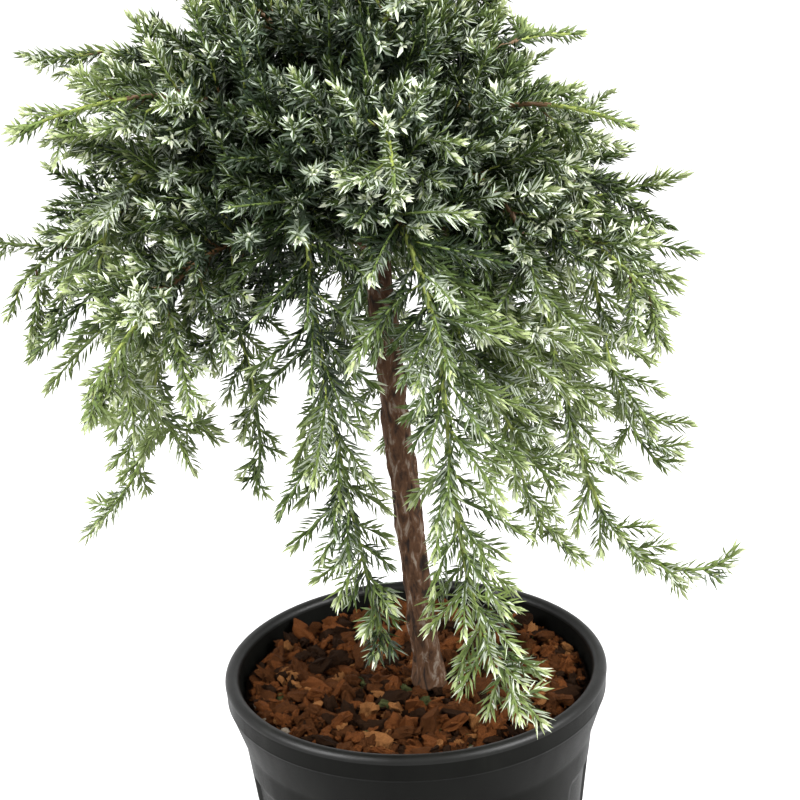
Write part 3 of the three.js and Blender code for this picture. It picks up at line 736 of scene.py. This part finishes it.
def whorls_on(points, lengths, pitch, first, rng):
    """Places, directions and shares of the whorls along shoots, and which shoot each is on."""
    counts = np.maximum(2, (lengths * (1 - first) / pitch).astype(int))
    owner, index = dealt(counts)
    share = first + (1 - first) * (index + 0.5) / counts[owner]
    jitter = rng.uniform(-WHORL.jitter, WHORL.jitter, len(owner))
    share = np.minimum(share + jitter / counts[owner], WHORL.last)
    foot, ahead = along(points, owner, share)
    to_tip = (1 - share) * lengths[owner]
    closing = np.minimum(TIP.longest, TIP.share * lengths)[owner]
    closed = 1 - smoothstep(to_tip / closing, 0, 1)
    return Whorls(foot, ahead, share, owner, index, to_tip, closed)


def needles_on(whorls, spread, size, rng):
    """Needles of whorls, each a channelled blade with a keel: two halves above and four faces below."""
    whorl_count, per_whorl = len(whorls.foot), WHORL.needles
    count = whorl_count * per_whorl
    ahead, foot = (np.repeat(part, per_whorl, axis=0) for part in (whorls.ahead, whorls.foot))
    share, closed = (np.repeat(part, per_whorl) for part in (whorls.share, whorls.closed))
    turn = np.pi / per_whorl * whorls.order + WHORL.turn_spread * rng.normal(size=whorl_count)
    around = np.repeat(turn, per_whorl)
    apart = np.tile(2 * np.pi / per_whorl * np.arange(per_whorl), whorl_count)
    around += apart + rng.normal(0, WHORL.needle_turn_spread, count)
    out = turned_about(unit(np.cross(ahead, ASKEW)), ahead, around)
    angle = lerp(spread, NEEDLE.tip_spread, closed) + rng.normal(0, NEEDLE.spreads, count)
    angle = np.radians(angle)[:, None]
    way = ahead * np.cos(angle) + out * np.sin(angle)
    upper = unit(ahead * np.sin(angle) - out * np.cos(angle))
    side = np.cross(way, upper)
    length = size * NEEDLE.length * rng.uniform(*NEEDLE.lengths, count)
    length *= np.interp(share, [0, NEEDLE.full_from], [NEEDLE.foot_length, 1])
    length = (length * lerp(1, NEEDLE.tip_length, closed))[:, None]
    width = NEEDLE.width * (1 + NEEDLE.wider - NEEDLE.wider * size)
    left = width * lerp(NEEDLE.band, 1 - NEEDLE.band, np.arange(count) % 2)[:, None]
    root = foot + out * NEEDLE.off_axis
    middle = root + way * length * NEEDLE.broadest
    edge = middle + upper * NEEDLE.channel
    keel = middle - upper * NEEDLE.thick
    tip = root + way * length + upper * length * NEEDLE.curl
    return np.stack([root, edge + side * left, edge - side * (width - left), keel, tip], axis=1)


NEEDLE_TRIANGLES = np.array([[0, 1, 4], [0, 4, 2], [0, 3, 1], [0, 2, 3], [3, 4, 1], [3, 2, 4]])
NEEDLE_POINTS = 5
UPPER_HALVES = 2
TINTS = 6  # levels of painted light, from deep shade to full light; one more is for pale shoot tips
# Kinds of needle face: colours from painted shade to painted light, and the colour of pale tips
NEEDLE_FACES = {
    "band": Values(
        stops=((0.03, 0.045, 0.027), (0.32, 0.365, 0.29), (0.49, 0.53, 0.435)),
        pale=(0.46, 0.49, 0.37), roughness=0.5, specular=0.25,
    ),
    "green": Values(
        stops=((0.0065, 0.013, 0.003), (0.036, 0.057, 0.013), (0.08, 0.108, 0.029)),
        pale=(0.19, 0.225, 0.1), roughness=0.42, specular=0.16,
    ),
}
DOME_LIGHT = ((0.5, 0.7, 0.84, 0.92, 1.04), (-0.3, 0, 1.5, 3.4, 2.6))  # painted shade deep in the crown and painted light at its surface: tints by how far out a needle is
HANGING_LIGHT = ((-20, 20, 60), (0.5, 2.9, 3.75))  # and painted light in the open tails: by how far below the dome's middle
SIDE_LIGHT = ((30, 95, 150), (-0.8, 1.7, 0.4))  # and painted light towards the left and right, painted shade near the middle: by how far it stands to the left or right
SHOOT_LIGHT = Values(gain=3.0, middle=0.46)  # and painted light towards the tips of shoots, painted shade towards their feet: by how far along its shoot
TINT_SPREAD = Values(spray=1.2, needle=0.5, fresh=0.8)
# painted light from which shoot tips turn pale, so pale tips are fresh growth and partly painted highlight
FRESH_FROM = 3.4


def painted_light_tints(whorls, rng):
    """Tints of painted light and shade by spray: darker deep in the crown, lighter towards its surface, in
    the open tails, to the left and right and at the tips of shoots, with a random tone by spray and by
    needle.
    """
    per_whorl = WHORL.needles
    count = len(whorls.foot) * per_whorl
    light = np.maximum(
        np.interp(dome_depth(whorls.foot), *DOME_LIGHT),
        np.interp(DOME.centre[2] - whorls.foot[:, 2], *HANGING_LIGHT),
    )
    light += np.interp(np.abs(whorls.foot[:, 0] - DOME.centre[0]), *SIDE_LIGHT)
    by_spray = rng.normal(0, TINT_SPREAD.spray, whorls.owner[-1] + 1)
    light += SHOOT_LIGHT.gain * (whorls.share - SHOOT_LIGHT.middle) + by_spray[whorls.owner]
    tint = np.repeat(light, per_whorl) + rng.normal(0, TINT_SPREAD.needle, count)
    # pale tips only where the painted light is high: fresh growth and partly painted highlight
    at_tip = np.repeat(whorls.to_tip, per_whorl) < TIP.pale
    fresh = at_tip & (tint + rng.normal(0, TINT_SPREAD.fresh, count) > FRESH_FROM)
    return np.where(fresh, TINTS, np.clip(np.round(tint), 0, TINTS - 1)).astype(int)


def tint_colours(stops, pale):
    """Colours of the tints, drawn from dark, middle and light ones."""
    places = np.linspace(0, 1, len(stops))
    shares = np.linspace(0, 1, TINTS)
    channels = [np.interp(shares, places, channel) for channel in zip(*stops)]
    return [*np.stack(channels, axis=-1).tolist(), pale]


def needle_materials():
    """Materials of the pale bands, one for each tint of painted light and shade, and then of the greens."""
    made = []
    for kind, face in NEEDLE_FACES.items():
        for tint, colour in enumerate(tint_colours(face.stops, face.pale)):
            # each tint is a lit or shaded copy of the face's colour: painted light
            name = f"needle_{kind}_{tint}"
            made.append(new_material(name, colour, face.roughness, face.specular)[0])
    return made


def needle_piece(name, vertices, tints, nodes, materials):
    """Needles with a pale band on either half of the upper face in turn, or on both at pale tips."""
    count = len(vertices)
    triangles = NEEDLE_TRIANGLES[None] + NEEDLE_POINTS * np.arange(count)[:, None, None]
    green = np.ones((count, len(NEEDLE_TRIANGLES)), int)
    green[np.arange(count), np.arange(count) % UPPER_HALVES] = 0
    green[tints == TINTS, :UPPER_HALVES] = 0
    material_of = tints[:, None] + (TINTS + 1) * green
    piece = add_mesh(
        name, vertices.reshape(-1, 3), triangles.reshape(-1, 3), materials, material_of.ravel(), smooth=False
    )
    on_plant(piece, nodes)


TWIG_COLOURS = {
    "old": (0.03, 0.016, 0.008), "ripe": (0.08, 0.042, 0.015), "young": (0.155, 0.19, 0.034),
    "new": (0.095, 0.138, 0.03),
}
TWIG_FINISH = (0.6, 0.35)  # roughness and specular
SHOOT_AGES = (0.3, 0.62, 0.85)


def twig_materials():
    return [new_material(f"twig_{name}", colour, *TWIG_FINISH)[0] for name, colour in TWIG_COLOURS.items()]


def side_of(leader):
    """The side of the plant that a leader starts towards."""
    return ("right", "back", "left", "front")[int((leader.azimuth + 45) % 360 // 90)]


def grow(rng):
    """Every leader's shoots and needles, joined by kind and by ring of leaders, the tails by side."""
    needle_looks, twig_looks = needle_materials(), twig_materials()
    groups = {}
    for leader in leaders:
        name = f"tails_{side_of(leader)}" if leader.kind == "tail" else leader.kind
        groups.setdefault(name, []).append(grown_leader(leader, rng))
    for name, grown in groups.items():
        nodes = [f"foliage_{part.name}" for part in grown]
        vertices = np.concatenate([part.needles for part in grown])
        tints = np.concatenate([part.tints for part in grown])
        needle_piece(f"needles_{name}", vertices, tints, nodes, needle_looks)
        twigs, triangles, looks = joined([mesh for part in grown for mesh in part.twigs])
        on_plant(add_mesh(f"twigs_{name}", twigs, triangles, twig_looks, looks))


def grown_leader(leader, rng):
    """A leader's needles, their tints and its twigs."""
    needles, tints, twig_meshes = [], [], []
    for stem in stems_of(leader, rng):
        growth = stem.growth
        shoots, shares, lengths = side_shoots(stem, rng)
        twigs, twig_lengths = twigs_on(shoots, lengths, shares, growth, rng)
        size, spread, pitch = growth.needle_size, growth.needle_spread, growth.needle_pitch
        bearers = [
            (shoots, lengths, SIDE_SHOOT.bare, pitch, spread, size),
            (twigs, twig_lengths, TWIG.bare, pitch, spread, TWIG.needle_share * size),
        ]
        if not stem.bare:
            points, length = stem.path[None], np.array([stem.length])
            bearers.append((points, length, STEM.bare, growth.stem_pitch, growth.stem_spread, size))
            twig_meshes.append(stem_tube(stem, leader))
        for points, length, bare, pitch, spread, size in bearers:
            whorls = whorls_on(points, length, pitch, bare, rng)
            needles.append(needles_on(whorls, spread, size, rng))
            tints.append(painted_light_tints(whorls, rng))
        twig_meshes.append(shoot_tubes(shoots, SIDE_SHOOT, growth.shoot_age))
        twig_meshes.append(shoot_tubes(twigs, TWIG, TWIG.age))
    needles, tints = np.concatenate(needles), np.concatenate(tints)
    return Values(name=leader.name, needles=needles, tints=tints, twigs=twig_meshes)


def stem_tube(stem, leader):
    """A stem from its bough's tip on, or a whole fork."""
    path = stem.path
    foot = STEM_TIP_RADIUS * FORK.foot_share
    if path is leader.path:
        foot = BOUGH_TIP_RADIUS if leader.bough else leader.radius
        path = path[int(leader.bough * STEM_STEPS):]
    vertices, triangles, share = tubes(path[None], foot, STEM_TIP_RADIUS, STEM.sides)
    return vertices, triangles, np.digitize(share, stem.growth.stem_ages)


def shoot_tubes(points, kind, age):
    """Side shoots or twigs as tubes, the younger the further along."""
    vertices, triangles, share = tubes(points, *kind.radius, kind.sides)
    return vertices, triangles, np.digitize(share + age, SHOOT_AGES)


# Pot

POT_MESH = Values(
    sides=240, foot_rings=6, wall_rings=70, flare_rings=8, band_rings=4, bead_rings=16, inner_rings=40,
    merge=0.001, drain_sides=24, drain_depth=9,
)
# Points of the pot's outline, outward and upward from its foot, shoulder, band and lip, and its rounds
POT_EDGE = Values(
    foot_in=(14, 2.5), foot_round=2.2, wall_foot=3, wall_top=2, step=(0.5, 1.5), ledge=(0.8, 2.4),
    flare=(-1.3, -1.6), band=(-1.6, 0), band_round=1, band_arc=(-60, 20), band_face=(-0.6, 1),
    lip_face=(-0.3, -2),
)
PANEL = Values(turn=0.1, side=0.035, end=4)  # shares of a panel's turn, and millimetres
POT_GLOSS = {"pot_plastic": 0.04, "pot_lip": 0.16}
LIP_GLOSS_FROM = 0.7  # how far below the rim the lip's gloss starts, as a share of the lip's width


def wall_radius(height):
    return lerp(POT.foot, POT.shoulder, height / SHOULDER_HEIGHT)


def inside_radius(height):
    share = (height - SHOULDER_HEIGHT) / (POT.shoulder_depth - POT.lip_width / 3)
    upper = lerp(POT.shoulder - POT.wall, POT.rim - POT.lip_width, share)
    return np.where(height <= SHOULDER_HEIGHT, wall_radius(height) - POT.wall, upper)


def arc(centre, radius, start, end, steps):
    angles = np.radians(np.linspace(start, end, steps))
    return np.stack([centre[0] + radius * np.cos(angles), centre[1] + radius * np.sin(angles)], axis=-1)


def pot_profile():
    """Radius and height from the underside's middle, up the outside, over the lip and down inside."""
    edge, mesh = POT_EDGE, POT_MESH
    shoulder = np.array([POT.shoulder, SHOULDER_HEIGHT])
    band = np.array([POT.rim, POT.height - POT.lip_depth])
    bead = POT.lip_width / 2
    lip = np.array([POT.rim, POT.height - bead])
    wall_heights = np.linspace(edge.wall_foot, SHOULDER_HEIGHT - edge.wall_top, mesh.wall_rings)
    inner_heights = np.linspace(POT.height - bead, POT.floor, mesh.inner_rings)
    return np.concatenate([
        [[0, 0], *([POT.foot - inset, 0] for inset in edge.foot_in)],
        arc((POT.foot - edge.foot_round, edge.foot_round), edge.foot_round, -90, 0, mesh.foot_rings),
        np.stack([wall_radius(wall_heights), wall_heights], axis=-1),
        [shoulder, shoulder + edge.step],
        np.linspace(shoulder + edge.ledge, band + edge.flare, mesh.flare_rings),
        arc(band + edge.band, edge.band_round, *edge.band_arc, mesh.band_rings),
        [band + edge.band_face, lip + edge.lip_face],
        arc((POT.rim - bead, POT.height - bead), bead, 0, 180, mesh.bead_rings),
        np.stack([inside_radius(inner_heights), inner_heights], axis=-1)[1:],
        [[0, POT.floor]],
    ])


def pot_piece():
    profile = pot_profile()
    sides = POT_MESH.sides
    angles = turn_angles(sides)
    radius = np.repeat(profile[:, :1], sides, axis=1)
    height = np.repeat(profile[:, 1:], sides, axis=1)
    outside = np.arange(len(profile))[:, None] < np.argmax(profile[:, 1])
    place = (angles * POT.panels / (2 * np.pi) - PANEL.turn) % 1
    across = smoothstep(0.5 * POT.panel_share - np.abs(place - 0.5), 0, PANEL.side)
    up = smoothstep(height, POT.panel_bottom, POT.panel_bottom + PANEL.end)
    up *= 1 - smoothstep(height, POT.panel_top - PANEL.end, POT.panel_top)
    radius -= POT.panel_depth * across[None] * up * outside
    vertices = ring_points(radius, angles, height).reshape(-1, 3)
    triangles = grid_triangles(len(profile), sides)
    materials = [plastic_material(name, specular) for name, specular in POT_GLOSS.items()]
    on_lip = vertices[triangles, 2].min(axis=1) > POT.height - LIP_GLOSS_FROM * POT.lip_width
    piece = add_mesh("pot_shell", vertices, triangles, materials, on_lip)
    drill_drains(piece)
    on_plant(piece, ["pot"])


def drill_drains(piece):
    """Points that meet on the axis become one, and round drain holes go through the floor."""
    sides = POT_MESH.drain_sides
    ring = POT.drain_radius * ring_points(1, turn_angles(sides), np.zeros(sides))
    depth = UP * POT_MESH.drain_depth
    meshes = []
    for hole in range(POT.drain_holes):
        centre = POT.drain_circle * heading(360 * (hole + 0.5) / POT.drain_holes, 0)
        ends = np.concatenate([centre + ring - depth, centre + ring + depth])
        meshes.append((ends, tube_triangles(2, sides), []))
    vertices, triangles, _ = joined(meshes)
    drill = add_mesh("drill", vertices, triangles, [])
    weld = piece.modifiers.new("weld", "WELD")
    weld.merge_threshold = POT_MESH.merge * MM
    cut = piece.modifiers.new("drains", "BOOLEAN")
    cut.object = drill
    cut.solver = "EXACT"
    bpy.context.view_layer.update()
    evaluated = piece.evaluated_get(bpy.context.evaluated_depsgraph_get())
    piece.data = bpy.data.meshes.new_from_object(evaluated)
    piece.modifiers.clear()
    bpy.data.objects.remove(drill)


# Bark mix

def lump_grid():
    """Surface points of a block of four by four by four, drawn in to a ball, and its triangles."""
    last = 3
    cells = np.ndindex(last + 1, last + 1, last + 1)
    places = [cell for cell in cells if 0 in cell or last in cell]
    triangles = []
    for axis in range(3):
        for side in (0, last):
            for u, v in np.ndindex(last, last):
                square = ((u, v), (u + 1, v), (u + 1, v + 1), (u, v + 1))
                corners = [places.index(tuple(np.roll([side, *at], axis))) for at in square]
                a, b, c, d = corners if side else reversed(corners)
                triangles += [[a, b, c], [a, c, d]]
    return unit(np.array(places) - last / 2), np.array(triangles)


CHIP_COLOURS = {
    "red": ((0.02, 0.0058, 0.0014), (0.15, 0.05, 0.014)),
    "brown": ((0.012, 0.0046, 0.0014), (0.086, 0.03, 0.009)),
    "dark": ((0.003, 0.0017, 0.0009), (0.025, 0.0105, 0.004)),
    "tan": ((0.055, 0.021, 0.007), (0.27, 0.118, 0.04)),
    "moss": ((0.012, 0.014, 0.005), (0.06, 0.068, 0.024)),
    "pale": ((0.1, 0.08, 0.06), (0.3, 0.25, 0.19)),
}
CHIP_SHARES = [0.32, 0.35, 0.23, 0.07, 0.02, 0.01]
SOIL_BED = Values(rings=60, sides=96, gap=0.6, below=2.6, edge_below=2, lift=0.3, hub=0.5, calm=14)
BED_LUMPS = ((1.5, (18, 40)), (0.8, (40, 80)))  # heights and cells of two sizes
LUMPS = Values(count=1300, size=3.1, spread=0.36, range=(1.4, 6.5))
CRUMBS = Values(count=2300, size=1.05, spread=0.3, range=(0.5, 1.8))
LUMP_SHAPE = Values(rough=(0.6, 1.3), drawn=((0.95, 1.9), (0.6, 1.0), (0.4, 0.8)), tip=0.5, roll=0.6)
LUMP_PLACE = Values(edge=2, reach=1.3, gap=0.3, below=2.4, heap=3, proud=0.25, under_rim=2, under_flare=2)
CHIP_PIECES = 2


def soil_pieces(rng):
    """The bed that fills the pot, and the lumps on it."""
    rings, sides, gap = SOIL_BED.rings, SOIL_BED.sides, SOIL_BED.gap
    edge = inside_radius(SOIL_LEVEL - SOIL_BED.edge_below) - gap
    radius = np.linspace(edge, SOIL_BED.hub, rings)
    angles = turn_angles(sides)
    lumps = sum(high * noise_sheet(rng, rings, sides, *cells) for high, cells in BED_LUMPS)
    height = SOIL_LEVEL - SOIL_BED.below + lumps * np.minimum(1, radius / SOIL_BED.calm)[:, None]
    top = ring_points(radius[:, None], angles, height)
    lower = (
        (inside_radius(POT.floor), POT.floor + SOIL_BED.lift),
        (POT.shoulder - POT.wall, SHOULDER_HEIGHT),
    )
    rims = [top[:1] * ((reach - gap) / edge) * [1, 1, 0] + UP * level for reach, level in lower]
    vertices = np.concatenate([*rims, top]).reshape(-1, 3)
    material = chip_material("soil_bed", *CHIP_COLOURS["dark"])
    piece = add_mesh("soil_bed", vertices, tube_triangles(rings + 2, sides), [material])
    on_plant(piece, ["soil"])
    chip_pieces(rng, edge)


def chip_pieces(rng, edge):
    """Lumps and crumbs of bark, rough balls drawn out, joined into a few pieces."""
    size = np.concatenate([
        rng.lognormal(math.log(kind.size), kind.spread, kind.count).clip(*kind.range)
        for kind in (LUMPS, CRUMBS)
    ])
    radius = (edge - LUMP_PLACE.edge) * np.sqrt(rng.uniform(0, 1, len(size)))
    angle = rng.uniform(0, 2 * np.pi, len(size))
    centre = np.stack([radius * np.cos(angle), radius * np.sin(angle)], axis=-1)
    off_trunk = np.linalg.norm(centre - TRUNK.foot[:2], axis=-1)
    keep = off_trunk > TRUNK.flare_radius - LUMP_PLACE.under_flare + size
    keep &= radius + LUMP_PLACE.reach * size < edge - LUMP_PLACE.gap
    centre, size = centre[keep], size[keep]
    count = len(size)
    ball, ball_triangles = lump_grid()
    shapes = ball[None] * rng.uniform(*LUMP_SHAPE.rough, (count, len(ball), 1)) * size[:, None, None]
    shapes *= np.stack([rng.uniform(*drawn, count) for drawn in LUMP_SHAPE.drawn], axis=-1)[:, None]
    shapes = np.einsum("nij,nkj->nki", random_turns(rng, count), shapes)
    height = SOIL_LEVEL - LUMP_PLACE.below + rng.uniform(0, LUMP_PLACE.heap, count)
    height += LUMP_PLACE.proud * size
    shapes += np.concatenate([centre, height[:, None]], axis=1)[:, None]
    shapes[..., 2] = np.minimum(shapes[..., 2], POT.height - LUMP_PLACE.under_rim)
    looks = rng.choice(len(CHIP_SHARES), count, p=CHIP_SHARES)
    materials = [chip_material(f"chip_{name}", *colours) for name, colours in CHIP_COLOURS.items()]
    for part in range(CHIP_PIECES):
        balls = shapes[part::CHIP_PIECES]
        triangles = ball_triangles[None] + len(ball) * np.arange(len(balls))[:, None, None]
        look = np.repeat(looks[part::CHIP_PIECES], len(ball_triangles))
        name = f"bark_chips_{part + 1}"
        piece = add_mesh(name, balls.reshape(-1, 3), triangles.reshape(-1, 3), materials, look, smooth=False)
        on_plant(piece)


def random_turns(rng, count):
    """Turns of any bearing with a moderate tip and roll, as rotation matrices."""
    spins = rng.uniform(0, 2 * np.pi, count)
    tips = rng.normal(0, LUMP_SHAPE.tip, count)
    rolls = rng.normal(0, LUMP_SHAPE.roll, count)
    turn = Matrix.Rotation
    return np.array([
        turn(spin, 3, "Z") @ turn(tip, 3, "Y") @ turn(roll, 3, "X")
        for spin, tip, roll in zip(spins, tips, rolls)
    ])


# Stage

FLOOR = Values(half_width=6000, grey=0.28, glow=0.65, roughness=0.9, specular=0.1)
WORLD_STRENGTH = 1.36
# Lamps, in metres and watts
LAMP_AIM = (0, 0, 0.35)
LAMP_SIZE = 1.2
LAMPS = {"left": ((-1.5, -0.8, 1.4), 104), "right": ((1.5, -0.7, 1.4), 122), "top": ((0, 0.3, 2.2), 36)}


def add_floor():
    material, _, shader = new_material("floor_pale", (FLOOR.grey,) * 3, FLOOR.roughness, FLOOR.specular)
    shader.inputs["Emission Color"].default_value = (1, 1, 1, 1)
    shader.inputs["Emission Strength"].default_value = FLOOR.glow
    corners = FLOOR.half_width * np.array([[-1, -1, 0], [1, -1, 0], [1, 1, 0], [-1, 1, 0]])
    floor = add_mesh("floor", corners, np.array([[0, 1, 2], [0, 2, 3]]), [material])
    floor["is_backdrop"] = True


def add_lamp(name, place, power):
    light = bpy.data.lights.new(name, "AREA")
    light.shape = "DISK"
    light.size = LAMP_SIZE
    light.energy = power
    lamp = add_object(name, light)
    lamp.location = place
    lamp.rotation_euler = (Vector(LAMP_AIM) - Vector(place)).to_track_quat("-Z", "Y").to_euler()


def add_light():
    world = bpy.data.worlds.new("studio")
    world.use_nodes = True
    background = world.node_tree.nodes["Background"]
    background.inputs["Color"].default_value = (1, 1, 1, 1)
    background.inputs["Strength"].default_value = WORLD_STRENGTH
    bpy.context.scene.world = world
    for name, (place, power) in LAMPS.items():
        add_lamp(name, place, power)
    bpy.context.scene.view_settings.view_transform = "Standard"


def add_camera():
    """The photograph's camera, by its angle and distance from the rim, its tilt and its roll."""
    rise, tilt, roll = (math.radians(angle) for angle in (CAMERA.height_angle, CAMERA.tilt, CAMERA.roll))
    height = CAMERA.aim_height + CAMERA.distance * math.sin(rise)
    place = Vector((CAMERA.aside, -CAMERA.distance * math.cos(rise), height))
    camera = bpy.data.cameras.new("camera")
    camera.sensor_width = SENSOR_WIDTH
    camera.lens = SENSOR_WIDTH * FOCAL_PIXELS / IMAGE_PIXELS
    holder = add_object("camera", camera)
    level = Matrix.Rotation(math.pi / 2 - tilt, 4, "X")
    holder.matrix_world = Matrix.Translation(place * MM) @ level @ Matrix.Rotation(roll, 4, "Z")
    bpy.context.scene.camera = holder


rng = np.random.default_rng(SEED)
add_camera()
add_light()
add_floor()
pot_piece()
soil_pieces(rng)
trunk_piece(rng)
bough_piece(rng)
grow(rng)

boxes = {"cad": cad_box, "visual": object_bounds()}
{name: [list(corner) for corner in box] for name, box in boxes.items()}
